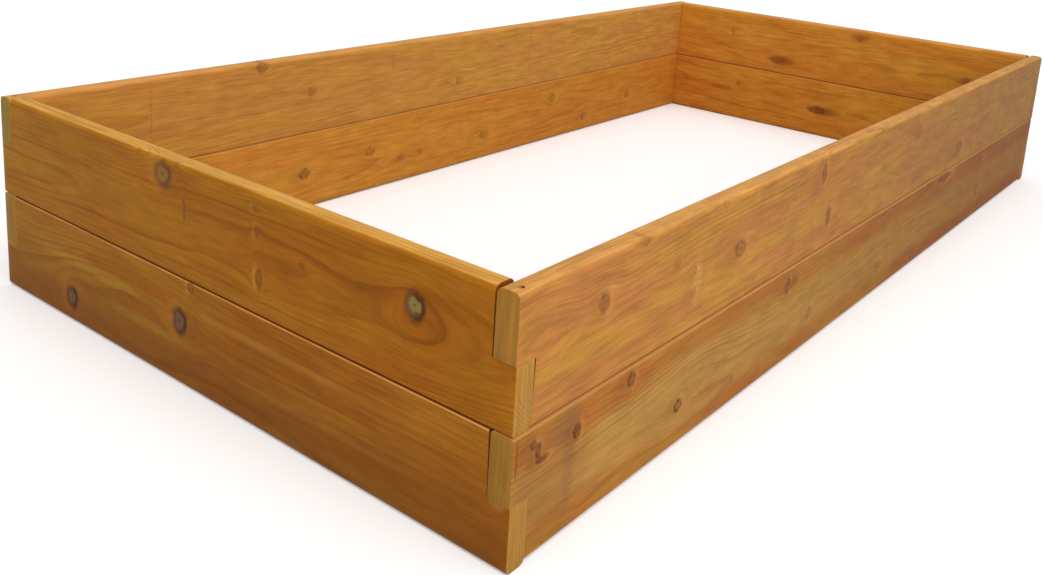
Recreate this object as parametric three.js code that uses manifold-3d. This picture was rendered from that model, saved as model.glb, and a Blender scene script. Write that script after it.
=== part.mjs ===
// Raised garden bed: two stacked tiers of four solid cedar boards, open to the ground below.
// In each tier the boards are halved into one another at the corners. A long board keeps the
// upper half of its end and a short board the lower half, and both run out flush with the face
// of the board they cross. A steel pin drops down through each corner and locks the stack.
// Millimetres, +Z up, X along the bed. The origin is on the ground in the middle of the bed.

import * as THREE from 'three';
import { mergeVertices } from 'three/addons/utils/BufferGeometryUtils.js';
import Module from 'manifold-3d';

const wasm = await Module();
wasm.setup();

// Driving dimensions
const INCH = 25.4;
const bedLength = 96 * INCH;
const bedWidth = 48 * INCH;
const boardHeight = 7.25 * INCH;
const boardThickness = 1.375 * INCH;
const edgeRadius = 0.375 * INCH; // of the four long edges of every board
const pinDiameter = 0.3125 * INCH;
const pinClearance = 0.6; // how much wider the bore is than the pin
const pinRecess = 2; // from the top rim down to the pin's head
const pinGroundClearance = 12;
const pinChamfer = 1;
const gap = 0.3; // between two pieces that touch
const tiers = ['lower', 'upper'];

// Fineness of the round surfaces
const edgeSegments = 6;
const boreSides = 24;

const tierPitch = boardHeight + gap;
const bedHeight = tierPitch * tiers.length - gap;
const notchLength = boardThickness + gap;
const notchHeight = (boardHeight + gap) / 2;
const overshoot = 5; // how far a cutter runs out past the wood

// Materials, with the colours of oiled cedar and of plated steel
const longCedar = { color: 0xc08a4a, roughness: 0.55, metalness: 0 };
const shortCedar = { color: 0xa8702e, roughness: 0.55, metalness: 0 };
const platedSteel = { color: 0xa8a29c, roughness: 0.35, metalness: 1 };

// A closed three.js geometry as a solid that can be cut
function toSolid(geometry) {
  const bare = geometry.clone();
  bare.deleteAttribute('normal');
  bare.deleteAttribute('uv');
  const merged = mergeVertices(bare);
  return new wasm.Manifold(new wasm.Mesh({
    numProp: 3,
    vertProperties: new Float32Array(merged.attributes.position.array),
    triVerts: new Uint32Array(merged.index.array),
  }));
}

function toGeometry(solid) {
  const { vertProperties, triVerts } = solid.getMesh();
  const geometry = new THREE.BufferGeometry();
  geometry.setAttribute('position', new THREE.BufferAttribute(vertProperties, 3));
  geometry.setIndex(new THREE.BufferAttribute(triVerts, 1));
  geometry.computeVertexNormals();
  return geometry;
}

// The board's section, with its thickness across and its height up, and rounded corners
function boardSection() {
  const side = boardThickness / 2;
  const quarter = Math.PI / 2;
  const section = new THREE.Shape();
  section.moveTo(side, edgeRadius);
  section.lineTo(side, boardHeight - edgeRadius);
  section.absarc(side - edgeRadius, boardHeight - edgeRadius, edgeRadius, 0, quarter);
  section.lineTo(edgeRadius - side, boardHeight);
  section.absarc(edgeRadius - side, boardHeight - edgeRadius, edgeRadius, quarter, 2 * quarter);
  section.lineTo(-side, edgeRadius);
  section.absarc(edgeRadius - side, edgeRadius, edgeRadius, 2 * quarter, 3 * quarter);
  section.lineTo(side - edgeRadius, 0);
  section.absarc(side - edgeRadius, edgeRadius, edgeRadius, 3 * quarter, 4 * quarter);
  return section;
}

// A plain board along X, standing on edge on the origin
function planedBoard(length) {
  const board = new THREE.ExtrudeGeometry(boardSection(), {
    depth: length,
    bevelEnabled: false,
    curveSegments: edgeSegments,
  });
  const along = new THREE.Vector3(1, 0, 0);
  const across = new THREE.Vector3(0, 1, 0);
  const up = new THREE.Vector3(0, 0, 1);
  board.applyMatrix4(new THREE.Matrix4().makeBasis(across, up, along));
  board.translate(-length / 2, 0, 0);
  return toSolid(board);
}

// What is sawn out of one end of a board: end is -1 or 1, and keeps is the half that stays
function notchCutter(length, end, keeps) {
  const cutter = new THREE.BoxGeometry(
    notchLength + overshoot,
    boardThickness + 2 * overshoot,
    notchHeight + overshoot,
  );
  const middle = length / 2 - notchLength + (notchLength + overshoot) / 2;
  const fromMiddle = (notchHeight + overshoot) / 2 - gap / 2;
  const height = boardHeight / 2 + (keeps === 'upper' ? -fromMiddle : fromMiddle);
  cutter.translate(end * middle, 0, height);
  return toSolid(cutter);
}

// The bore for the corner pin, down through the tongue that the notch leaves
function boreCutter(length, end) {
  const radius = (pinDiameter + pinClearance) / 2;
  const cutter = new THREE.CylinderGeometry(radius, radius, boardHeight + 2 * overshoot, boreSides);
  cutter.rotateX(Math.PI / 2);
  cutter.translate(end * (length - boardThickness) / 2, 0, boardHeight / 2);
  return toSolid(cutter);
}

// A board with a bored tongue at each end
function halvedBoard(length, keeps) {
  let board = planedBoard(length);
  for (const end of [-1, 1]) {
    board = board.subtract(notchCutter(length, end, keeps));
    board = board.subtract(boreCutter(length, end));
  }
  return toGeometry(board);
}

// A straight pin with chamfered ends, standing on the origin
function cornerPin() {
  const radius = pinDiameter / 2;
  const length = bedHeight - pinGroundClearance - pinRecess;
  const profile = [
    new THREE.Vector2(0, 0),
    new THREE.Vector2(radius - pinChamfer, 0),
    new THREE.Vector2(radius, pinChamfer),
    new THREE.Vector2(radius, length - pinChamfer),
    new THREE.Vector2(radius - pinChamfer, length),
    new THREE.Vector2(0, length),
  ];
  const pin = new THREE.LatheGeometry(profile, boreSides);
  pin.rotateX(Math.PI / 2);
  return pin;
}

function addPiece(parent, name, geometry, finish) {
  const piece = new THREE.Mesh(geometry, new THREE.MeshStandardMaterial(finish));
  piece.name = name;
  parent.add(piece);
  return piece;
}

// The four boards of one tier, standing on the tier's own floor
function buildTier(tierName) {
  const tier = new THREE.Group();
  for (const [wall, side] of [['front', -1], ['rear', 1]]) {
    const board = addPiece(tier, `${tierName}_${wall}_board`, halvedBoard(bedLength, 'upper'), longCedar);
    board.position.y = side * (bedWidth - boardThickness) / 2;
  }
  for (const [wall, side] of [['left', -1], ['right', 1]]) {
    const board = addPiece(tier, `${tierName}_${wall}_board`, halvedBoard(bedWidth, 'lower'), shortCedar);
    board.position.x = side * (bedLength - boardThickness) / 2;
    board.rotation.z = Math.PI / 2;
  }
  return tier;
}

function buildPins() {
  const pins = new THREE.Group();
  for (const [wall, ySide] of [['front', -1], ['rear', 1]]) {
    for (const [hand, xSide] of [['left', -1], ['right', 1]]) {
      const pin = addPiece(pins, `${wall}_${hand}_corner_pin`, cornerPin(), platedSteel);
      pin.position.x = xSide * (bedLength - boardThickness) / 2;
      pin.position.y = ySide * (bedWidth - boardThickness) / 2;
      pin.position.z = pinGroundClearance;
    }
  }
  return pins;
}

const gardenBed = new THREE.Group();
tiers.forEach((tierName, index) => {
  const tier = buildTier(tierName);
  tier.position.z = index * tierPitch;
  gardenBed.add(tier);
});
gardenBed.add(buildPins());

export default gardenBed;
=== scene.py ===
"""A raised garden bed of oiled cedar boards, standing on a pale studio floor."""

import math
from collections import namedtuple

import bmesh
import bpy
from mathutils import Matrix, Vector


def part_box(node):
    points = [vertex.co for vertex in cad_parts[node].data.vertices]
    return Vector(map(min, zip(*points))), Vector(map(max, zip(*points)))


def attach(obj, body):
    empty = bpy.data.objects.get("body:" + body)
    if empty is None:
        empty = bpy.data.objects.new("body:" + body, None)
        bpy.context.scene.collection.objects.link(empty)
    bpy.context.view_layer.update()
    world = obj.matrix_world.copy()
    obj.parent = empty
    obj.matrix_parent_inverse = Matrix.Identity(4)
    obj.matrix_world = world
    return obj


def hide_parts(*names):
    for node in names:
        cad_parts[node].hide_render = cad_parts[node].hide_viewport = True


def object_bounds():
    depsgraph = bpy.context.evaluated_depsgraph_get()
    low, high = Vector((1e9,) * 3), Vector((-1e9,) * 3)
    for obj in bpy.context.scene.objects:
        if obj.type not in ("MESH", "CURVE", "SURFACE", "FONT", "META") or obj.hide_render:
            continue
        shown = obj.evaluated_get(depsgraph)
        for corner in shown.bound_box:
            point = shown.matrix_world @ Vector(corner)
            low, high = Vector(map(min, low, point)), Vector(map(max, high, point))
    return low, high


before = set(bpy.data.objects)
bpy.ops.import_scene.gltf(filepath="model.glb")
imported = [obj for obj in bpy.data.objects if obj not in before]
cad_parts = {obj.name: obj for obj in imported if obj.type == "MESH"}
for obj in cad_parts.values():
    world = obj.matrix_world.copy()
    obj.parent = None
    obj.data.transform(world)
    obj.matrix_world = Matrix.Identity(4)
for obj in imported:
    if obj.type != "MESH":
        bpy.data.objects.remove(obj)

# Sizes in metres, taken from the solid boards and pins
cad_low, cad_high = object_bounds()
front_low, front_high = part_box("lower_front_board")
upper_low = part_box("upper_front_board")[0]
pin_low, pin_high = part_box("front_left_corner_pin")
BED_LENGTH = cad_high.x - cad_low.x
BED_WIDTH = cad_high.y - cad_low.y
BED_HEIGHT = cad_high.z - cad_low.z
THICKNESS = front_high.y - front_low.y
BOARD_HEIGHT = front_high.z - front_low.z
TIER_FLOOR = {"lower": front_low.z, "upper": upper_low.z}
LONG_WALL = (BED_WIDTH - THICKNESS) / 2      # from the middle of the bed to the middle of a wall
SHORT_WALL = (BED_LENGTH - THICKNESS) / 2
PIN_RADIUS = (pin_high.x - pin_low.x) / 2

# Sizes of the joinery, in metres
EDGE_RADIUS = 0.0095
JOINT_RADIUS = 0.004         # the edges where one tier meets the other are only eased
JOINT_GAP = 0.0003           # play between the halved ends of two boards
BORE_RADIUS = PIN_RADIUS + 0.0005
SHOULDER_GAP = 0.0014        # the dark line that shows where one board sits in another
ARRIS = 0.0007               # softening of the sawn edges
UPPER_STEP = 0.0035          # how far the upper tier stands back at the near corner
WAVE_HEIGHT = 0.0012         # how far a board bows inwards, at most
WAVE_LENGTH = 0.35           # how far apart the bows are, roughly

# How finely the boards are divided
SLICE = 0.02                 # a board is cut across about this often along its length
ROWS = 10                    # strips up its faces
EDGE_STEPS = 6               # strips round each rounded edge
BORE_SIDES = 32
SAWN_ANGLE = math.radians(60)        # an edge sharper than this was sawn, and is softened
SMOOTH_ANGLE = math.radians(35)      # an edge blunter than this is shaded as round

# The camera looks down on the near corner; its place is in metres and its turns are in degrees
CAMERA_PLACE = (-2.1201, -1.2834, 0.8619)
CAMERA_TURNS = (77.0085, -3.5209, -51.5287)
SENSOR_WIDTH = 36            # millimetres, as is the focal length
FOCAL_LENGTH = 36.602
FRAME_SHIFT = -0.185         # the frame is moved down by this share of its width

# The shoulders that gape, by board and end: how wide in the notch's corner, and how wide at the
# board's edge
OPEN_JOINTS = {
    ("lower_left", 1): (0.0020, 0.0046),
    ("upper_left", 1): (0.0030, 0.0036),
    ("upper_front", -1): (0.0036, 0.0006),
}

# How each wall lies: its middle, the turn that brings a board made along X into it, its length,
# and the half of its height that a board keeps at its ends
Wall = namedtuple("Wall", "middle turn length keeps")
WALLS = {
    "front": Wall((0, -LONG_WALL), 0, BED_LENGTH, "upper"),
    "rear": Wall((0, LONG_WALL), 180, BED_LENGTH, "upper"),
    "left": Wall((-SHORT_WALL, 0), -90, BED_WIDTH, "lower"),
    "right": Wall((SHORT_WALL, 0), 90, BED_WIDTH, "lower"),
}


# ---------------------------------------------------------------- camera and lamps

def set_camera():
    camera = bpy.data.objects.new("camera", bpy.data.cameras.new("camera"))
    bpy.context.scene.collection.objects.link(camera)
    camera.location = CAMERA_PLACE
    camera.rotation_euler = [math.radians(turn) for turn in CAMERA_TURNS]
    camera.data.sensor_width = SENSOR_WIDTH
    camera.data.lens = FOCAL_LENGTH
    camera.data.shift_y = FRAME_SHIFT
    camera.data.clip_start = 0.05
    camera.data.clip_end = 100
    bpy.context.scene.camera = camera


def add_lamp(kind, name, comes_from, aims_at, power):
    bpy.ops.object.light_add(type=kind, location=comes_from)
    lamp = bpy.context.object
    lamp.name = name
    lamp.data.energy = power
    backwards = Vector(comes_from) - Vector(aims_at)
    lamp.rotation_euler = backwards.to_track_quat("Z", "Y").to_euler()
    return lamp.data


def set_lamps():
    """Even light from above, and a soft box beside the camera that falls off along the front."""
    overhead = add_lamp("SUN", "overhead soft box", (-0.6, -0.9, 3.0), (0, 0, 0), 1.25)
    overhead.angle = math.radians(60)
    near = add_lamp("AREA", "near soft box", (-2.2, -3.2, 1.6), (-0.8, -0.6, 0.2), 34)
    near.size = 2.0


# ---------------------------------------------------------------- node helpers

def new_tree(material_name):
    material = bpy.data.materials.new(material_name)
    material.use_nodes = True
    material.node_tree.nodes.clear()
    return material, material.node_tree


def add_node(tree, kind, **settings):
    node = tree.nodes.new(kind)
    for name, value in settings.items():
        setattr(node, name, value)
    return node


def feed(tree, value, socket):
    """Joins a socket to another one, or sets it to a plain value."""
    if isinstance(value, bpy.types.NodeSocket):
        tree.links.new(value, socket)
    else:
        socket.default_value = value


def calc(tree, operation, *values, clamp=False):
    """One step of arithmetic on plain values."""
    node = add_node(tree, "ShaderNodeMath", operation=operation, use_clamp=clamp)
    for value, socket in zip(values, node.inputs):
        feed(tree, value, socket)
    return node.outputs["Value"]


def product(tree, *values):
    result = values[0]
    for value in values[1:]:
        result = calc(tree, "MULTIPLY", result, value)
    return result


def vector_calc(tree, operation, *values):
    node = add_node(tree, "ShaderNodeVectorMath", operation=operation)
    for value, socket in zip(values, node.inputs):
        feed(tree, value, socket)
    return node.outputs["Vector"]


def scaled(tree, vector, factor):
    node = add_node(tree, "ShaderNodeVectorMath", operation="SCALE")
    feed(tree, vector, node.inputs["Vector"])
    feed(tree, factor, node.inputs["Scale"])
    return node.outputs["Vector"]


def split(tree, vector):
    node = add_node(tree, "ShaderNodeSeparateXYZ")
    feed(tree, vector, node.inputs["Vector"])
    return node.outputs


def join(tree, x, y, z):
    node = add_node(tree, "ShaderNodeCombineXYZ")
    for value, socket in zip((x, y, z), node.inputs):
        feed(tree, value, socket)
    return node.outputs["Vector"]


def step(tree, value, low, high, out_low=0.0, out_high=1.0):
    """Rises smoothly from out_low to out_high as value goes from low to high."""
    node = add_node(tree, "ShaderNodeMapRange", interpolation_type="SMOOTHSTEP")
    feed(tree, value, node.inputs["Value"])
    bounds = {"From Min": low, "From Max": high, "To Min": out_low, "To Max": out_high}
    for name, bound in bounds.items():
        feed(tree, bound, node.inputs[name])
    return node.outputs["Result"]


def band(tree, value, rise_from, rise_to, fall_from, fall_to):
    """Rises smoothly from nothing to full as value grows, and falls to nothing again further on."""
    rise = step(tree, value, rise_from, rise_to)
    fall = step(tree, value, fall_from, fall_to, 1.0, 0.0)
    return calc(tree, "MULTIPLY", rise, fall)


def noise(tree, vector, stretch, detail=2.0, seed=0.0, colour=False):
    """Noise with so many lumps to the metre along, across and up the board."""
    mapped = vector_calc(tree, "MULTIPLY_ADD", vector, stretch, (seed, seed, seed))
    node = add_node(tree, "ShaderNodeTexNoise", noise_dimensions="3D")
    feed(tree, mapped, node.inputs["Vector"])
    node.inputs["Scale"].default_value = 1.0
    node.inputs["Detail"].default_value = detail
    return node.outputs["Color" if colour else "Fac"]


def mix(tree, factor, first, second, kind="MIX"):
    """Goes from the first colour to the second as the factor goes from 0 to 1."""
    node = add_node(tree, "ShaderNodeMix", data_type="RGBA", blend_type=kind)
    feed(tree, factor, node.inputs[0])
    feed(tree, first, node.inputs[6])
    feed(tree, second, node.inputs[7])
    return node.outputs[2]


def shaded(tree, colour, shade):
    """The colour made darker or lighter by one factor."""
    return mix(tree, 1.0, colour, join(tree, shade, shade, shade), "MULTIPLY")


def mix_value(tree, factor, first, second):
    """Goes from the first plain value to the second as the factor goes from 0 to 1."""
    node = add_node(tree, "ShaderNodeMix", data_type="FLOAT")
    feed(tree, factor, node.inputs[0])
    feed(tree, first, node.inputs[2])
    feed(tree, second, node.inputs[3])
    return node.outputs[0]


def paint(red, green, blue):
    """A colour given in display values from 0 to 255."""
    def linear(value):
        share = value / 255
        return share / 12.92 if share <= 0.04045 else ((share + 0.055) / 1.055) ** 2.4
    return linear(red), linear(green), linear(blue), 1.0


def new_group(name, inputs, outputs):
    """An empty shader group, and its two ends; inputs and outputs give each socket's kind."""
    group = bpy.data.node_groups.new(name, "ShaderNodeTree")
    for socket, kind in inputs.items():
        group.interface.new_socket(socket, in_out="INPUT", socket_type="NodeSocket" + kind)
    for socket, kind in outputs.items():
        group.interface.new_socket(socket, in_out="OUTPUT", socket_type="NodeSocket" + kind)
    return group, add_node(group, "NodeGroupInput").outputs, add_node(group, "NodeGroupOutput").inputs


def place_group(tree, group, **values):
    """Puts a group in a material; a socket's name is written with _ for its spaces."""
    node = add_node(tree, "ShaderNodeGroup", node_tree=group)
    for name, value in values.items():
        feed(tree, value, node.inputs[name.replace("_", " ")])
    return node.outputs


def add_shader(tree):
    """Ends the tree in a shader, and gives the shader's sockets."""
    shader = add_node(tree, "ShaderNodeBsdfPrincipled")
    output = add_node(tree, "ShaderNodeOutputMaterial")
    feed(tree, shader.outputs["BSDF"], output.inputs["Surface"])
    return shader.inputs


# ---------------------------------------------------------------- what cedar is made of

NO_KNOT = 9.0        # the distance to the nearest knot, in half its size, where there is none


def make_knot_group():
    """Parts the grain round one knot, and keeps how near the nearest knot is.

    Nearest is 1 on a knot's rim and 0 at its heart. The growth lines part above and below the
    knot and swell towards the face round it. Smear is the resin drawn out along the grain, and
    Sheen a painted sheen: the lit side and the shaded side that the leaning fibres would show. A
    knot of strength 0 is grown over: it leaves only the loops in the grain. A mark much taller than
    long is a crack, and leaves the grain alone.
    """
    group, given, gives = new_group(
        "grain round a knot",
        {"Place": "Vector", "Grain": "Vector", "Nearest": "Float", "Tone": "Float", "Strength": "Float",
         "Smear": "Float", "Sheen": "Float", "Along": "Float", "Up": "Float", "Length": "Float",
         "Height": "Float", "Own tone": "Float", "Own strength": "Float"},
        {"Grain": "Vector", "Nearest": "Float", "Tone": "Float", "Strength": "Float", "Smear": "Float",
         "Sheen": "Float"},
    )
    place = split(group, given["Place"])
    grain = split(group, given["Grain"])
    along = calc(group, "DIVIDE", calc(group, "SUBTRACT", place["X"], given["Along"]), given["Length"])
    rise = calc(group, "SUBTRACT", place["Z"], given["Up"])
    up = calc(group, "DIVIDE", rise, given["Height"])
    along_squared = calc(group, "MULTIPLY", along, along)
    up_squared = calc(group, "MULTIPLY", up, up)
    distance = calc(group, "SQRT", calc(group, "ADD", along_squared, up_squared))
    lumps = noise(group, join(group, along, up, given["Along"]), (1.1, 1.1, 40.0), detail=3.0)
    distance = calc(group, "MULTIPLY_ADD", calc(group, "SUBTRACT", lumps, 0.5), 0.9, distance)

    spread = calc(group, "MULTIPLY_ADD", along_squared, -0.13, calc(group, "MULTIPLY", up_squared, -0.2))
    roundness = calc(group, "DIVIDE", given["Length"], given["Height"], clamp=True)
    reach = calc(group, "MULTIPLY", calc(group, "EXPONENT", spread), roundness)
    drawn_in = calc(group, "MULTIPLY", calc(group, "MULTIPLY", rise, reach), 0.75)
    swelling = calc(group, "MULTIPLY", calc(group, "MULTIPLY", given["Height"], reach), 0.4)
    parted = join(group, grain["X"], calc(group, "SUBTRACT", grain["Y"], swelling),
                  calc(group, "SUBTRACT", grain["Z"], drawn_in))
    feed(group, parted, gives["Grain"])
    drawn_out = calc(group, "MULTIPLY_ADD", along_squared, -0.09, calc(group, "MULTIPLY", up_squared, -0.6))
    resin = calc(group, "MULTIPLY", calc(group, "EXPONENT", drawn_out), given["Own strength"])
    feed(group, calc(group, "MAXIMUM", given["Smear"], resin), gives["Smear"])
    # painted sheen: lit on one side of the knot and shaded on the other, as leaning fibres catch the light
    leaning = calc(group, "MULTIPLY", calc(group, "MULTIPLY", along, reach), given["Own strength"])
    feed(group, calc(group, "ADD", given["Sheen"], leaning), gives["Sheen"])

    seen = calc(group, "GREATER_THAN", given["Own strength"], 0.01)
    shown_at = calc(group, "ADD", distance, calc(group, "MULTIPLY_ADD", seen, -NO_KNOT, NO_KNOT))
    nearer = calc(group, "LESS_THAN", shown_at, given["Nearest"])
    feed(group, calc(group, "MINIMUM", shown_at, given["Nearest"]), gives["Nearest"])
    for kept in ("Tone", "Strength"):
        change = calc(group, "SUBTRACT", given["Own " + kept.lower()], given[kept])
        feed(group, calc(group, "MULTIPLY_ADD", change, nearer, given[kept]), gives[kept])
    return group


def make_figure_group():
    """The growth rings and fibres of a board cut from a log whose pith runs beside it.

    Lines is 1 in the dark late wood of the ring and 0 in its early wood. Fibre, Patches, Mottle
    and Curl run from 0 to 1 about a middle of 0.5.
    """
    group, given, gives = new_group(
        "cedar figure",
        {"Grain": "Vector", "Pith across": "Float", "Pith up": "Float", "Tilt across": "Float",
         "Tilt up": "Float", "Ring width": "Float", "Wander": "Float", "Seed": "Float"},
        {"Lines": "Float", "Fibre": "Float", "Patches": "Float", "Mottle": "Float", "Curl": "Float"},
    )
    grain = vector_calc(group, "ADD", given["Grain"], join(group, given["Seed"], 0.0, 0.0))
    wander = noise(group, grain, (1.6, 5.0, 5.0), detail=2.0, colour=True)
    wander = scaled(group, vector_calc(group, "SUBTRACT", wander, (0.5, 0.5, 0.5)), given["Wander"])
    here = split(group, vector_calc(group, "ADD", given["Grain"], wander))
    pith_across = calc(group, "MULTIPLY_ADD", here["X"], given["Tilt across"], given["Pith across"])
    pith_up = calc(group, "MULTIPLY_ADD", here["X"], given["Tilt up"], given["Pith up"])
    across = calc(group, "SUBTRACT", here["Y"], pith_across)
    up = calc(group, "SUBTRACT", here["Z"], pith_up)
    squares = calc(group, "MULTIPLY_ADD", across, across, calc(group, "MULTIPLY", up, up))
    years = calc(group, "DIVIDE", calc(group, "SQRT", squares), given["Ring width"])
    ripple = noise(group, grain, (8.0, 30.0, 30.0), detail=2.0)
    years = calc(group, "MULTIPLY_ADD", ripple, 0.5, years)
    season = calc(group, "FRACT", years)
    late = band(group, season, 0.35, 0.9, 0.92, 1.0)
    year = add_node(group, "ShaderNodeTexWhiteNoise", noise_dimensions="1D")
    feed(group, calc(group, "FLOOR", years), year.inputs["W"])
    fading = step(group, noise(group, grain, (3.0, 30.0, 30.0), detail=1.0, seed=3.0), 0.3, 0.7, 0.2, 1.0)
    depth = calc(group, "MULTIPLY", calc(group, "MULTIPLY_ADD", year.outputs["Value"], 0.7, 0.3), fading)
    feed(group, calc(group, "MULTIPLY", late, depth), gives["Lines"])
    feed(group, noise(group, grain, (16.0, 380.0, 380.0), detail=3.0), gives["Fibre"])
    feed(group, noise(group, grain, (4.5, 20.0, 22.0), detail=4.0, seed=5.0), gives["Patches"])
    feed(group, noise(group, grain, (14.0, 50.0, 60.0), detail=3.0, seed=7.0), gives["Mottle"])
    feed(group, noise(group, grain, (30.0, 9.0, 12.0), detail=3.0, seed=9.0), gives["Curl"])
    return group


def make_wear_and_sheen_group():
    """The output is 1 on the rims, where handling and weather have paled the wood, and where a pale painted
    sheen stands for the light that falls on them.

    It begins on the round edges where they face up by more than From, and is full from Full on.
    """
    group, given, gives = new_group(
        "wear and sheen on edges",
        {"Place": "Vector", "Facing up": "Float", "From": "Float", "Full": "Float", "Seed": "Float"},
        {"Wear and sheen": "Float"},
    )
    slope = step(group, given["Facing up"], given["From"], given["Full"])
    place = vector_calc(group, "ADD", given["Place"], join(group, given["Seed"], 0.0, 0.0))
    rubbed = step(group, noise(group, place, (9.0, 70.0, 70.0), detail=3.0), 0.3, 0.65, 0.6, 1.0)
    # up-facing rounds pale: partly wear, partly a painted sheen for the light falling on them
    feed(group, calc(group, "MULTIPLY", slope, rubbed), gives["Wear and sheen"])
    return group


# ---------------------------------------------------------------- the look of each board

# Colours that all the boards share
RESIN = (162, 86, 26)
# what a board darkens towards at its foot
DARK_FOOT_COLOUR = (110, 58, 20)
RED_KNOT_MIDDLE = (122, 62, 22)
RED_KNOT_EDGE = (162, 96, 36)
GREY_KNOT_MIDDLE = (104, 74, 34)
KNOT_TURNS = (90, 50, 20)
KNOT_RING = (64, 29, 17)
# end grain inside a joint, painted dark for the shade there
PAINTED_SHADE_IN_JOINT = (136, 74, 22)

RIM_WEAR_AND_SHEEN = 0.85              # how much of its own colour a fully pale rim has lost, to wear and to painted sheen

# A knot's place along the wall and above the ground, half its length and half its height, its
# tone, from 0 for a red one to 1 for a pale grey one, and how strongly it shows
Knot = namedtuple("Knot", "along up length height tone strength")

# A soft stain or streak of another colour, placed and measured like a knot
Streak = namedtuple("Streak", "along up length height colour strength")

# What holds for a board unless its own look says otherwise. Colours: "gold" and "red" are the
# patches of clear wood, "line" the growth lines, "pale" a band of sapwood if there is one, "sawn"
# the end grain, "rim" the rims, pale with wear and with a painted sheen, and also the painted sheen
# round red knots, "heart" the inside of a grey knot, and "joint_light_and_shade" the dust and
# painted shade along the joint between the tiers, a painted highlight there instead on some lower
# boards. "wear_and_sheen" is how far a round edge faces up where it begins and ends to pale, and
# "ends" what the colour is multiplied by at the wall's high end, in X or Y: on the front boards a
# painted falloff of the light along the wall, on the others a change of tone. The "pith" is given
# as how far it ran out of the bed from the middle of the board, and how high, and "tilt" as how
# fast that changes along the board. "wander" is how far the rings stray, "curl" and "mottle" how
# much the figure darkens and lightens the wood, and "darker_foot" how much darker the board grows
# towards its foot.
PLAIN = {
    "gold": (188, 122, 38),
    "red": (178, 104, 34),
    "line": (150, 84, 24),
    "pale": None,
    "sawn": (178, 126, 50),
    "rim": (218, 158, 86),
    "heart": (158, 134, 76),
    "joint_light_and_shade": (176, 108, 40),
    "wear_and_sheen": (0.35, 0.9),
    "ends": (1.0, 1.0, 1.0),
    "pith": (-0.09, 0.1),
    "tilt": (0.01, 0.02),
    "ring_width": 0.0055,
    "wander": 0.03,
    "curl": 0.03,
    "mottle": 0.06,
    "darker_foot": 0.0,
    "streaks": [],
}

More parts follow.
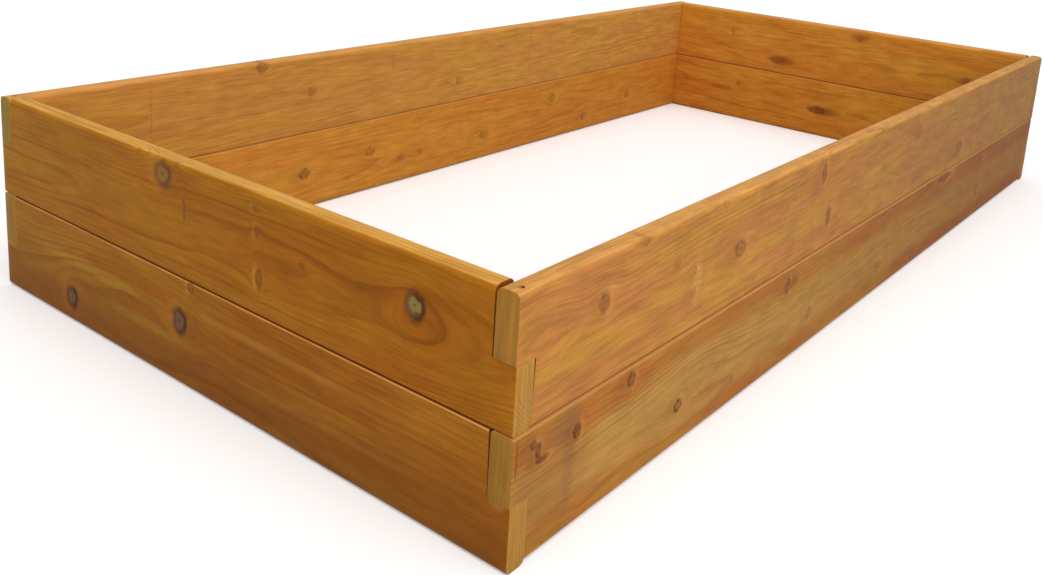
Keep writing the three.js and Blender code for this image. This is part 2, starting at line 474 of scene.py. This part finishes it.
LOOKS = {
    "upper_front": {
        "gold": (202, 143, 60), "red": (195, 127, 65), "line": (166, 98, 42), "ends": (0.68, 0.70, 0.60),
        "heart": (204, 150, 84), "joint_light_and_shade": (196, 124, 58),
        "pith": (-0.09, 0.27), "tilt": (0.01, 0.03), "curl": 0.05, "mottle": 0.1, "seed": 1.0,
        "streaks": [
            Streak(-0.790, 0.262, 0.016, 0.050, (214, 158, 88), 0.55),
            Streak(-1.020, 0.318, 0.050, 0.008, (214, 156, 84), 0.4),
            Streak(-0.640, 0.290, 0.030, 0.008, (218, 162, 92), 0.45),
        ],
        "knots": [
            Knot(-1.163, 0.293, 0.030, 0.022, 0.2, 0.0),
            Knot(-0.947, 0.362, 0.012, 0.006, 0.0, 0.3),
            Knot(-1.039, 0.302, 0.011, 0.013, 0.1, 0.6),
            Knot(-0.854, 0.304, 0.008, 0.006, 0.2, 0.3),
            Knot(-0.799, 0.278, 0.005, 0.006, 0.1, 0.45),
            Knot(-0.797, 0.242, 0.006, 0.008, 0.1, 0.4),
            Knot(-0.655, 0.275, 0.016, 0.013, 0.2, 0.6),
            Knot(-0.720, 0.362, 0.010, 0.005, 0.1, 0.3),
            Knot(-0.345, 0.336, 0.009, 0.016, 0.1, 0.85),
            Knot(-0.491, 0.304, 0.008, 0.006, 0.2, 0.3),
            Knot(-0.301, 0.244, 0.010, 0.015, 0.1, 0.7),
            Knot(0.169, 0.325, 0.012, 0.013, 0.6, 0.5),
            Knot(0.497, 0.229, 0.018, 0.012, 0.1, 0.5),
        ],
    },
    "lower_front": {
        "gold": (186, 130, 48), "red": (180, 112, 45), "line": (154, 90, 34), "pale": (194, 148, 74),
        "sawn": (168, 120, 46), "rim": (204, 146, 82), "heart": (100, 66, 44), "joint_light_and_shade": (189, 131, 74),
        "wear_and_sheen": (0.05, 0.5),
        "ends": (0.60, 0.45, 0.15),
        "pith": (-0.07, 0.07), "tilt": (-0.012, 0.02), "ring_width": 0.007, "curl": 0.05, "mottle": 0.08,
        "seed": 4.0,
        "streaks": [
            Streak(-1.099, 0.102, 0.014, 0.085, (148, 116, 76), 0.45),
            Streak(-1.118, 0.155, 0.040, 0.026, (146, 112, 76), 0.55),
            Streak(-1.140, 0.105, 0.110, 0.110, (152, 96, 44), 0.5),
            Streak(-0.437, 0.153, 0.030, 0.014, (146, 84, 34), 0.6),
        ],
        "knots": [
            Knot(-1.178, 0.160, 0.006, 0.006, 0.1, 0.9),
            Knot(-1.167, 0.149, 0.005, 0.010, 0.1, 1.0),
            Knot(-1.157, 0.134, 0.011, 0.005, 0.15, 1.0),
            Knot(-1.084, 0.141, 0.008, 0.010, 0.2, 1.0),
            Knot(-1.211, 0.155, 0.0012, 0.024, 0.0, 0.9),
            Knot(-0.960, 0.165, 0.009, 0.010, 0.1, 1.0),
            Knot(-0.817, 0.070, 0.010, 0.009, 0.2, 1.0),
            Knot(-0.750, 0.083, 0.050, 0.026, 0.1, 0.0),
            Knot(-0.456, 0.153, 0.008, 0.015, 0.3, 0.6),
            Knot(-0.341, 0.067, 0.012, 0.009, 0.1, 0.35),
            Knot(0.013, 0.058, 0.016, 0.011, 0.1, 0.4),
            Knot(0.408, 0.171, 0.040, 0.008, 0.0, 0.8),
            Knot(0.713, 0.157, 0.020, 0.006, 0.0, 0.5),
            Knot(0.715, 0.072, 0.008, 0.016, 0.1, 0.5),
        ],
    },
    "upper_left": {
        "gold": (179, 112, 23), "red": (172, 100, 19), "line": (124, 60, 8), "sawn": (190, 138, 62),
        "rim": (228, 172, 80), "joint_light_and_shade": (126, 56, 6), "wear_and_sheen": (0.68, 0.92), "ends": (1.02, 1.2, 1.05),
        "pith": (-0.08, 0.27), "tilt": (0.02, -0.03), "seed": 7.0,
        "knots": [
            Knot(0.101, 0.342, 0.020, 0.018, 0.7, 0.75),
            Knot(0.046, 0.297, 0.0026, 0.017, 0.5, 0.75),
            Knot(-0.127, 0.345, 0.008, 0.005, 0.1, 0.35),
            Knot(-0.133, 0.241, 0.007, 0.013, 0.0, 0.7),
            Knot(-0.128, 0.310, 0.005, 0.008, 0.0, 0.5),
            Knot(-0.226, 0.288, 0.006, 0.006, 0.1, 0.35),
            Knot(-0.245, 0.265, 0.110, 0.030, 0.0, 0.0),
            Knot(-0.440, 0.300, 0.015, 0.017, 1.0, 1.0),
            Knot(-0.498, 0.284, 0.045, 0.022, 0.0, 0.0),
        ],
    },
    "lower_left": {
        "gold": (175, 111, 28), "red": (164, 95, 19), "line": (136, 70, 12), "sawn": (184, 134, 58),
        "rim": (232, 172, 92), "heart": (124, 92, 70), "joint_light_and_shade": (126, 56, 6), "wear_and_sheen": (0.02, 0.3),
        "ends": (1.05, 1.18, 0.8),
        "pith": (-0.08, 0.05), "tilt": (-0.02, 0.03), "ring_width": 0.007, "darker_foot": 0.5, "seed": 11.0,
        "streaks": [
            Streak(0.313, 0.118, 0.200, 0.012, (188, 140, 52), 0.6),
            Streak(0.165, 0.073, 0.160, 0.010, (184, 134, 50), 0.5),
            Streak(-0.163, 0.136, 0.260, 0.007, (190, 136, 60), 0.4),
            Streak(-0.254, 0.064, 0.250, 0.006, (186, 132, 60), 0.3),
        ],
        "knots": [
            Knot(0.383, 0.046, 0.017, 0.019, 0.9, 1.0),
            Knot(0.062, 0.109, 0.017, 0.019, 0.9, 1.0),
            Knot(0.031, 0.175, 0.008, 0.007, 0.0, 0.7),
            Knot(0.234, 0.087, 0.060, 0.030, 0.0, 0.0),
        ],
    },
    "upper_rear": {
        "gold": (218, 151, 64), "red": (214, 143, 67), "line": (184, 110, 44), "sawn": (160, 130, 54),
        "heart": (206, 150, 80), "mottle": 0.075, "joint_light_and_shade": (196, 130, 58),
        "ends": (1.04, 1.12, 1.25),
        "pith": (0.10, 0.30), "tilt": (0.01, 0.02), "wander": 0.025, "seed": 15.0,
        "knots": [
            Knot(-0.654, 0.359, 0.014, 0.010, 0.3, 0.6),
            Knot(-0.512, 0.282, 0.012, 0.009, 0.2, 0.35),
            Knot(0.008, 0.242, 0.014, 0.010, 0.2, 0.4),
            Knot(-0.934, 0.290, 0.0014, 0.070, 0.0, 0.22),
            Knot(-0.249, 0.330, 0.0014, 0.035, 0.0, 0.22),
            Knot(0.313, 0.300, 0.0014, 0.060, 0.0, 0.22),
        ],
    },
    "lower_rear": {
        "gold": (229, 157, 58), "red": (225, 146, 56), "line": (190, 110, 38), "sawn": (166, 124, 50),
        "heart": (206, 150, 76), "mottle": 0.075, "joint_light_and_shade": (214, 150, 74),
        "wear_and_sheen": (0.05, 0.5), "ends": (0.92, 0.86, 0.86),
        "pith": (0.08, 0.09), "tilt": (0.015, 0.02), "ring_width": 0.007, "seed": 19.0,
        "knots": [
            Knot(-0.531, 0.086, 0.015, 0.012, 0.2, 0.65),
            Knot(-0.320, 0.102, 0.015, 0.010, 0.2, 0.5),
            Knot(-0.208, 0.063, 0.010, 0.007, 0.2, 0.35),
            Knot(-0.138, 0.068, 0.010, 0.007, 0.2, 0.35),
            Knot(0.123, 0.071, 0.016, 0.011, 0.5, 0.4),
            Knot(0.443, 0.128, 0.012, 0.013, 0.5, 0.4),
            Knot(0.868, 0.081, 0.016, 0.012, 0.2, 0.4),
            Knot(0.620, 0.043, 0.014, 0.010, 0.2, 0.35),
        ],
    },
    "upper_right": {
        "gold": (224, 152, 53), "red": (216, 135, 48), "line": (182, 102, 32), "sawn": (160, 112, 48),
        "pith": (0.09, 0.26), "tilt": (0.012, 0.02), "mottle": 0.09, "seed": 23.0,
        "streaks": [
            Streak(0.180, 0.229, 0.055, 0.017, (166, 84, 38), 0.75),
            Streak(-0.080, 0.346, 0.035, 0.014, (168, 92, 38), 0.55),
            Streak(-0.416, 0.264, 0.035, 0.013, (168, 92, 38), 0.55),
        ],
        "knots": [
            Knot(0.192, 0.227, 0.024, 0.010, 0.0, 0.6),
            Knot(0.364, 0.296, 0.006, 0.014, 0.1, 0.35),
            Knot(-0.080, 0.342, 0.012, 0.008, 0.1, 0.35),
            Knot(-0.416, 0.266, 0.012, 0.009, 0.1, 0.4),
        ],
    },
    "lower_right": {
        "gold": (223, 148, 51), "red": (213, 129, 44), "line": (178, 98, 30), "sawn": (160, 112, 48),
        "pith": (0.10, 0.10), "tilt": (-0.012, 0.02), "ring_width": 0.0065, "wear_and_sheen": (0.05, 0.5),
        "mottle": 0.09, "seed": 27.0,
        "streaks": [
            Streak(0.020, 0.085, 0.060, 0.017, (150, 72, 34), 0.8),
        ],
        "knots": [
            Knot(0.034, 0.085, 0.024, 0.011, 0.0, 0.75),
            Knot(0.325, 0.123, 0.008, 0.007, 0.1, 0.4),
        ],
    },
}


def board_place(tree, wall_name):
    """A point's place in its own wall, and how far its surface faces along the wall and upwards.

    The place is measured along the wall, out of the bed from the wall's middle, and above the ground.
    """
    coordinates = add_node(tree, "ShaderNodeTexCoord")
    here = split(tree, coordinates.outputs["Object"])
    facing = split(tree, coordinates.outputs["Normal"])
    along, across = ("X", "Y") if wall_name in ("front", "rear") else ("Y", "X")
    middle = WALLS[wall_name].middle[1 if across == "Y" else 0]
    out = calc(tree, "MULTIPLY", calc(tree, "SUBTRACT", here[across], middle), math.copysign(1, middle))
    return join(tree, here[along], out, here["Z"]), facing[along], facing["Z"]


def streak_mask(tree, place, streak):
    """Full in the middle of the streak and nothing just past its edge."""
    here = split(tree, place)
    along = calc(tree, "DIVIDE", calc(tree, "SUBTRACT", here["X"], streak.along), streak.length)
    up = calc(tree, "DIVIDE", calc(tree, "SUBTRACT", here["Z"], streak.up), streak.height)
    squares = calc(tree, "MULTIPLY_ADD", along, along, calc(tree, "MULTIPLY", up, up))
    return step(tree, squares, 0.0, 1.3, streak.strength, 0.0)


def pass_knots(tree, look, place, uneven, knot_group):
    """Parts the grain round one knot after another, and finds which of them is nearest."""
    found = {
        "Grain": place, "Nearest": NO_KNOT, "Tone": 0.0, "Strength": 0.0, "Smear": 0.0, "Sheen": 0.0,
    }
    for knot in look["knots"]:
        outputs = place_group(
            tree, knot_group, Place=uneven, **found, Along=knot.along, Up=knot.up, Length=knot.length,
            Height=knot.height, Own_tone=knot.tone, Own_strength=knot.strength,
        )
        found = {name: outputs[name] for name in found}
    return found


def clear_wood(tree, look, figure, grain, uneven):
    """Patches of gold and red, the pale band of sapwood, and the streaks."""
    patches = step(tree, figure["Patches"], 0.35, 0.65)
    wood = mix(tree, patches, paint(*look["gold"]), paint(*look["red"]))
    if look["pale"]:
        sapwood = band(tree, split(tree, grain)["Z"], 0.03, 0.06, 0.12, 0.15)
        wood = mix(tree, calc(tree, "MULTIPLY", sapwood, 0.8), wood, paint(*look["pale"]))
    for streak in look["streaks"]:
        wood = mix(tree, streak_mask(tree, uneven, streak), wood, paint(*streak.colour))
    return wood


def lit_and_weathered_wood(tree, look, wood, wear_and_sheen, high_end):
    """The colour changes towards the wall's high end, which on the front boards paints the light falling
    off along the wall, and pales on the rims with wear and with a painted sheen.
    """
    off_the_rims = calc(tree, "MULTIPLY_ADD", wear_and_sheen, -RIM_WEAR_AND_SHEEN, 1.0)
    # painted falloff of light on the front boards: the colour is multiplied towards the wall's high end,
    # and kept off the pale rims
    at_high_end = mix(tree, 1.0, wood, (*look["ends"], 1.0), "MULTIPLY")
    wood = mix(tree, calc(tree, "MULTIPLY", high_end, off_the_rims), wood, at_high_end)
    # the rims paled by wear and by a painted sheen
    return mix(tree, calc(tree, "MULTIPLY", wear_and_sheen, RIM_WEAR_AND_SHEEN), wood, paint(*look["rim"]))


def figured_wood(tree, look, wood, figure, sheen):
    """The growth lines, the light and dark of fibres, curl and mottle, and the painted sheen of the grain
    leaning round knots.
    """
    wood = mix(tree, calc(tree, "MULTIPLY", figure["Lines"], 0.6), wood, paint(*look["line"]))
    fibre = step(tree, figure["Fibre"], 0.3, 0.7, 0.87, 1.09)
    curl = calc(tree, "MULTIPLY", calc(tree, "SUBTRACT", figure["Curl"], 0.5), 4 * look["curl"])
    mottle = step(tree, figure["Mottle"], 0.3, 0.7, -look["mottle"], look["mottle"])
    shade = calc(tree, "ADD", calc(tree, "ADD", fibre, curl), mottle)
    # the knots' painted sheen lightens one side of each knot and shades the other
    return shaded(tree, wood, calc(tree, "MULTIPLY_ADD", sheen, 0.1, shade))


def knotty_wood(tree, look, wood, knots, place):
    """Resin drawn out along the grain, and each knot's painted sheen, inside and dark ring.

    A red knot is broken into flecks, and only a red knot has a pale painted sheen on its lit side;
    every knot's dark ring is painted fainter on that side and full on the shaded side.
    """
    nearest, tone, sheen = knots["Nearest"], knots["Tone"], knots["Sheen"]
    flecks = step(tree, noise(tree, place, (140.0, 140.0, 140.0), detail=3.0), 0.36, 0.62, 0.2, 1.0)
    shows = calc(tree, "MULTIPLY", knots["Strength"], mix_value(tree, tone, flecks, 1.0))
    wood = mix(tree, calc(tree, "MULTIPLY", knots["Smear"], 0.3), wood, paint(*RESIN))

    # painted sheen: a pale ring on the lit side of a red knot
    sheen_side = step(tree, sheen, 0.0, 0.3, 0.1, 0.6)
    redness = mix_value(tree, tone, 1.0, 0.0)
    sheen_halo = product(tree, band(tree, nearest, 0.9, 1.4, 1.4, 2.6), sheen_side, redness, shows)
    wood = mix(tree, sheen_halo, wood, paint(*look["rim"]))

    red = mix(tree, step(tree, nearest, 0.0, 0.9), paint(*RED_KNOT_MIDDLE), paint(*RED_KNOT_EDGE))
    grey = mix(tree, step(tree, nearest, 0.0, 0.3), paint(*GREY_KNOT_MIDDLE), paint(*look["heart"]))
    turns = calc(tree, "SINE", calc(tree, "MULTIPLY", nearest, 20.0))
    turns = calc(tree, "MULTIPLY_ADD", turns, 0.12, 0.12)
    heart = mix(tree, turns, mix(tree, tone, red, grey), paint(*KNOT_TURNS))
    inside = calc(tree, "MULTIPLY", step(tree, nearest, 0.5, 1.3, 1.0, 0.0), shows)
    wood = mix(tree, inside, wood, heart)

    # painted shade: the dark ring is full on the side away from the sheen
    shaded_side = step(tree, sheen, -0.3, 0.4, 1.0, 0.6)
    ring = product(tree, band(tree, nearest, 0.4, 0.9, 0.85, 1.5), shaded_side, shows, 0.9)
    return mix(tree, ring, wood, paint(*KNOT_RING))


def sawn_wood(tree, look, figure, place, in_the_open):
    """End grain, with painted shade on it inside the joints."""
    lines = calc(tree, "MULTIPLY", figure["Lines"], 0.4)
    wood = mix(tree, lines, paint(*look["sawn"]), paint(*look["line"]))
    banding = noise(tree, place, (10.0, 160.0, 12.0), detail=2.0, seed=look["seed"])
    wood = shaded(tree, wood, step(tree, banding, 0.3, 0.7, 0.86, 1.08))
    # painted shade on the end grain inside the joints
    return mix(tree, in_the_open, paint(*PAINTED_SHADE_IN_JOINT), wood)


def make_cedar(board_name, groups):
    look = {**PLAIN, **LOOKS[board_name]}
    wall_name = board_name.split("_")[1]
    half_length = WALLS[wall_name].length / 2
    material, tree = new_tree("oiled cedar, " + board_name.replace("_", " "))
    place, facing_along, facing_up = board_place(tree, wall_name)
    # the outlines of knots and streaks shiver by up to 3 mm
    shiver = noise(tree, place, (45.0, 45.0, 45.0), detail=2.0, seed=look["seed"], colour=True)
    shiver = vector_calc(tree, "MULTIPLY_ADD", shiver, (0.006, 0.0, 0.006), (-0.003, 0.0, -0.003))
    uneven = vector_calc(tree, "ADD", place, shiver)

    knots = pass_knots(tree, look, place, uneven, groups["knot"])
    figure = place_group(
        tree, groups["figure"], Grain=knots["Grain"], Pith_across=look["pith"][0], Pith_up=look["pith"][1],
        Tilt_across=look["tilt"][0], Tilt_up=look["tilt"][1], Ring_width=look["ring_width"],
        Wander=look["wander"], Seed=look["seed"],
    )
    edges = place_group(
        tree, groups["edges"], Place=place, Facing_up=facing_up, From=look["wear_and_sheen"][0],
        Full=look["wear_and_sheen"][1], Seed=look["seed"],
    )

    spot = split(tree, place)
    along, height = spot["X"], spot["Z"]
    wood = clear_wood(tree, look, figure, knots["Grain"], uneven)
    # the painted falloff of light along the wall, and rims paled by wear and by a painted sheen
    wood = lit_and_weathered_wood(tree, look, wood, edges["Wear and sheen"], step(tree, along, -half_length, half_length))
    wood = figured_wood(tree, look, wood, figure, knots["Sheen"])
    # darker towards the foot of the board
    if look["darker_foot"]:
        wood = mix(tree, step(tree, height, 0.0, 0.16, look["darker_foot"], 0.0), wood, paint(*DARK_FOOT_COLOUR))
    wood = knotty_wood(tree, look, wood, knots, place)

    # dust and painted shade along the joint between the tiers, a painted highlight there instead on some
    # lower boards, and the sawn ends
    from_joint = calc(tree, "ABSOLUTE", calc(tree, "SUBTRACT", height, BOARD_HEIGHT))
    wood = mix(tree, step(tree, from_joint, 0.0008, 0.0026, 1.0, 0.0), wood, paint(*look["joint_light_and_shade"]))
    in_the_open = step(tree, calc(tree, "ABSOLUTE", along), half_length - 0.01, half_length - 0.005)
    end_grain = step(tree, calc(tree, "ABSOLUTE", facing_along), 0.6, 0.9)
    wood = mix(tree, end_grain, wood, sawn_wood(tree, look, figure, place, in_the_open))

    shader = add_shader(tree)
    feed(tree, wood, shader["Base Color"])
    feed(tree, 0.08, shader["Specular IOR Level"])
    feed(tree, calc(tree, "MULTIPLY_ADD", figure["Fibre"], 0.2, 0.45), shader["Roughness"])
    bump = add_node(tree, "ShaderNodeBump")
    feed(tree, 0.3, bump.inputs["Strength"])
    feed(tree, 0.0006, bump.inputs["Distance"])
    feed(tree, calc(tree, "MULTIPLY_ADD", figure["Lines"], 0.5, figure["Fibre"]), bump.inputs["Height"])
    feed(tree, bump.outputs["Normal"], shader["Normal"])
    return material


# ---------------------------------------------------------------- making the boards

def make_active(thing):
    bpy.ops.object.select_all(action="DESELECT")
    thing.select_set(True)
    bpy.context.view_layer.objects.active = thing


def add_block(name, size, middle, turn=(0, 0, 0)):
    bpy.ops.mesh.primitive_cube_add(size=1, location=middle, rotation=turn, scale=size)
    block = bpy.context.object
    block.name = name
    bpy.ops.object.transform_apply(location=True, rotation=True, scale=True)
    return block


def choose(board, kind, wanted):
    """In edit mode, selects the edges or verts that wanted() says yes to."""
    mesh = bmesh.from_edit_mesh(board.data)
    for part in list(mesh.faces) + list(mesh.edges) + list(mesh.verts):
        part.select_set(False)
    for part in getattr(mesh, kind):
        if wanted(part):
            part.select_set(True)
    bmesh.update_edit_mesh(board.data)


def runs_along(edge, axis):
    """Whether an edge runs along the axis, or nearly so."""
    start, end = (vert.co for vert in edge.verts)
    return abs(end[axis] - start[axis]) > 0.9 * (end - start).length


def apply_modifier(thing, kind, **settings):
    make_active(thing)
    modifier = thing.modifiers.new(kind.lower(), kind)
    for name, value in settings.items():
        setattr(modifier, name, value)
    bpy.ops.object.modifier_apply(modifier=modifier.name)


def cut_away(thing, cutter):
    apply_modifier(thing, "BOOLEAN", operation="DIFFERENCE", solver="EXACT", object=cutter)
    bpy.data.objects.remove(cutter)


def planed_blank(name, length, tier):
    """A board along X with its middle at the origin and its four long edges rounded."""
    board = add_block(name, (length, THICKNESS, BOARD_HEIGHT), (0, 0, 0))
    bpy.ops.object.mode_set(mode="EDIT")
    bpy.context.tool_settings.mesh_select_mode = (False, True, False)
    choose(board, "edges", lambda edge: runs_along(edge, 0))
    bpy.ops.mesh.subdivide(number_cuts=round(length / SLICE))
    choose(board, "edges", lambda edge: runs_along(edge, 2))
    bpy.ops.mesh.subdivide(number_cuts=ROWS - 1)

    def is_long_edge(edge, side):
        middle = (edge.verts[0].co + edge.verts[1].co) / 2
        nearly_half = 0.49
        at_face = abs(middle.y) > nearly_half * THICKNESS
        return runs_along(edge, 0) and at_face and side * middle.z > nearly_half * BOARD_HEIGHT

    joint_side = 1 if tier == "lower" else -1
    for side, radius in ((joint_side, JOINT_RADIUS), (-joint_side, EDGE_RADIUS)):
        choose(board, "edges", lambda edge: is_long_edge(edge, side))
        bpy.ops.mesh.bevel(offset=radius, segments=EDGE_STEPS, profile=0.5, affect="EDGES")
    bpy.ops.object.mode_set(mode="OBJECT")
    return board


def saw_notch(board, length, end, keeps, inner_gap, outer_gap):
    """Saws half the height off one end, leaving gaps in the notch's corner and at the board's edge."""
    margin = 0.01
    notch_height = (BOARD_HEIGHT + JOINT_GAP) / 2
    lean = (outer_gap - inner_gap) / notch_height
    reach = THICKNESS + (inner_gap + outer_gap) / 2
    side = -1 if keeps == "upper" else 1
    middle = (
        end * (length / 2 - reach + (reach + margin) / 2),
        0,
        side * ((notch_height + margin) / 2 - JOINT_GAP / 2),
    )
    size = (reach + margin, 2 * THICKNESS, notch_height + margin)
    cutter = add_block("notch cutter", size, middle, (0, -end * side * lean, 0))
    cut_away(board, cutter)


def wave(board, wall):
    """Lets the board bow a little inwards here and there, as boards do once they have dried."""
    axis = 1 if wall.length == BED_LENGTH else 0
    inwards = -math.copysign(1, wall.middle[axis])
    clouds = bpy.data.textures.new("drying waves", "CLOUDS")
    clouds.noise_scale = WAVE_LENGTH
    clouds.noise_depth = 1
    apply_modifier(board, "DISPLACE", texture=clouds, strength=inwards * WAVE_HEIGHT, mid_level=0.0,
                   texture_coords="LOCAL", direction="XY"[axis])


def set_in_wall(board, tier, wall):
    make_active(board)
    board.location = (*wall.middle, TIER_FLOOR[tier] + BOARD_HEIGHT / 2)
    board.rotation_euler[2] = math.radians(wall.turn)
    bpy.ops.object.transform_apply(location=True, rotation=True, scale=True)


def step_back(board, board_name):
    """Draws the upper tier's near corner in, so that the lower tier stands a little proud of it."""
    make_active(board)
    bpy.ops.object.mode_set(mode="EDIT")
    bpy.context.tool_settings.mesh_select_mode = (True, False, False)
    if board_name == "upper_front":
        choose(board, "verts", lambda vert: vert.co.x < -BED_LENGTH / 2 + ARRIS)
        bpy.ops.transform.translate(value=(0, UPPER_STEP, 0), use_proportional_edit=True,
                                    proportional_edit_falloff="LINEAR", proportional_size=BED_LENGTH)
    elif board_name == "upper_left":
        choose(board, "verts", lambda vert: vert.co.y < -BED_WIDTH / 2 + 2 * THICKNESS)
        bpy.ops.transform.translate(value=(0, UPPER_STEP, 0))
    bpy.ops.object.mode_set(mode="OBJECT")


def board_box(board):
    places = [vert.co for vert in board.data.vertices]
    low = [min(place[axis] for place in places) for axis in range(3)]
    high = [max(place[axis] for place in places) for axis in range(3)]
    return low, high


def drill_bores(board):
    """Bores the board for every corner pin that stands in it."""
    low, high = board_box(board)
    for pin_x in (-SHORT_WALL, SHORT_WALL):
        for pin_y in (-LONG_WALL, LONG_WALL):
            if low[0] < pin_x < high[0] and low[1] < pin_y < high[1]:
                bpy.ops.mesh.primitive_cylinder_add(
                    vertices=BORE_SIDES, radius=BORE_RADIUS, depth=2 * BED_HEIGHT,
                    location=(pin_x, pin_y, BED_HEIGHT / 2),
                )
                drill = bpy.context.object
                bpy.ops.object.transform_apply(location=True, rotation=True, scale=True)
                cut_away(board, drill)


def make_board(board_name, groups):
    tier, wall_name = board_name.split("_")
    wall = WALLS[wall_name]
    board = planed_blank("cedar_" + board_name, wall.length, tier)
    for end in (-1, 1):
        gaps = OPEN_JOINTS.get((board_name, end), (SHOULDER_GAP, SHOULDER_GAP))
        saw_notch(board, wall.length, end, wall.keeps, *gaps)
    set_in_wall(board, tier, wall)
    wave(board, wall)
    step_back(board, board_name)
    drill_bores(board)
    apply_modifier(board, "BEVEL", width=ARRIS, segments=2, limit_method="ANGLE", angle_limit=SAWN_ANGLE)
    bpy.ops.object.shade_smooth_by_angle(angle=SMOOTH_ANGLE)
    board.data.materials.clear()
    board.data.materials.append(make_cedar(board_name, groups))
    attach(board, "root")
    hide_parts(board_name + "_board")


# ---------------------------------------------------------------- pins

def make_zinc():
    """Dull zinc plate, a little blotchy."""
    material, tree = new_tree("zinc plate")
    coordinates = add_node(tree, "ShaderNodeTexCoord")
    blotches = noise(tree, coordinates.outputs["Object"], (400.0, 400.0, 400.0), detail=3.0)
    colour = mix(tree, step(tree, blotches, 0.35, 0.65), paint(176, 160, 148), paint(206, 194, 182))
    shader = add_shader(tree)
    feed(tree, 1.0, shader["Metallic"])
    feed(tree, colour, shader["Base Color"])
    feed(tree, step(tree, blotches, 0.3, 0.7, 0.35, 0.55), shader["Roughness"])
    return material


def finish_pins():
    zinc = make_zinc()
    for name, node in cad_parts.items():
        if name.endswith("corner_pin"):
            node.data.materials.clear()
            node.data.materials.append(zinc)


# ---------------------------------------------------------------- studio

def make_floor():
    """A wide floor, white to the camera but duller in the light it throws back on the boards."""
    bpy.ops.mesh.primitive_plane_add(size=60, location=(0, 0, 0))
    floor = bpy.context.object
    floor.name = "studio_floor"
    material, tree = new_tree("pale floor")
    light_path = add_node(tree, "ShaderNodeLightPath")
    seen = calc(tree, "MAXIMUM", light_path.outputs["Is Camera Ray"], light_path.outputs["Is Glossy Ray"])
    seen = calc(tree, "MAXIMUM", seen, light_path.outputs["Is Transmission Ray"])
    shader = add_shader(tree)
    feed(tree, 0.0, shader["Specular IOR Level"])
    feed(tree, 1.0, shader["Roughness"])
    feed(tree, (1, 1, 1, 1), shader["Emission Color"])
    feed(tree, mix(tree, seen, (0.5, 0.5, 0.5, 1), (0.96, 0.96, 0.96, 1)), shader["Base Color"])
    feed(tree, calc(tree, "MULTIPLY", seen, 0.15), shader["Emission Strength"])
    floor.data.materials.append(material)


def set_world():
    """White walls all round, which light the bed about half as brightly as they look."""
    world = bpy.data.worlds.new("studio")
    bpy.context.scene.world = world
    world.use_nodes = True
    tree = world.node_tree
    tree.nodes.clear()
    light_path = add_node(tree, "ShaderNodeLightPath")
    background = add_node(tree, "ShaderNodeBackground")
    background.inputs["Color"].default_value = (1, 1, 1, 1)
    strength = calc(tree, "MULTIPLY_ADD", light_path.outputs["Is Camera Ray"], 0.45, 0.55)
    feed(tree, strength, background.inputs["Strength"])
    output = add_node(tree, "ShaderNodeOutputWorld")
    feed(tree, background.outputs["Background"], output.inputs["Surface"])


# ---------------------------------------------------------------- putting it together

bpy.context.scene.view_settings.view_transform = "Standard"
set_camera()
set_world()
set_lamps()
make_floor()

groups = {"knot": make_knot_group(), "figure": make_figure_group(), "edges": make_wear_and_sheen_group()}
for board_name in LOOKS:
    make_board(board_name, groups)
finish_pins()
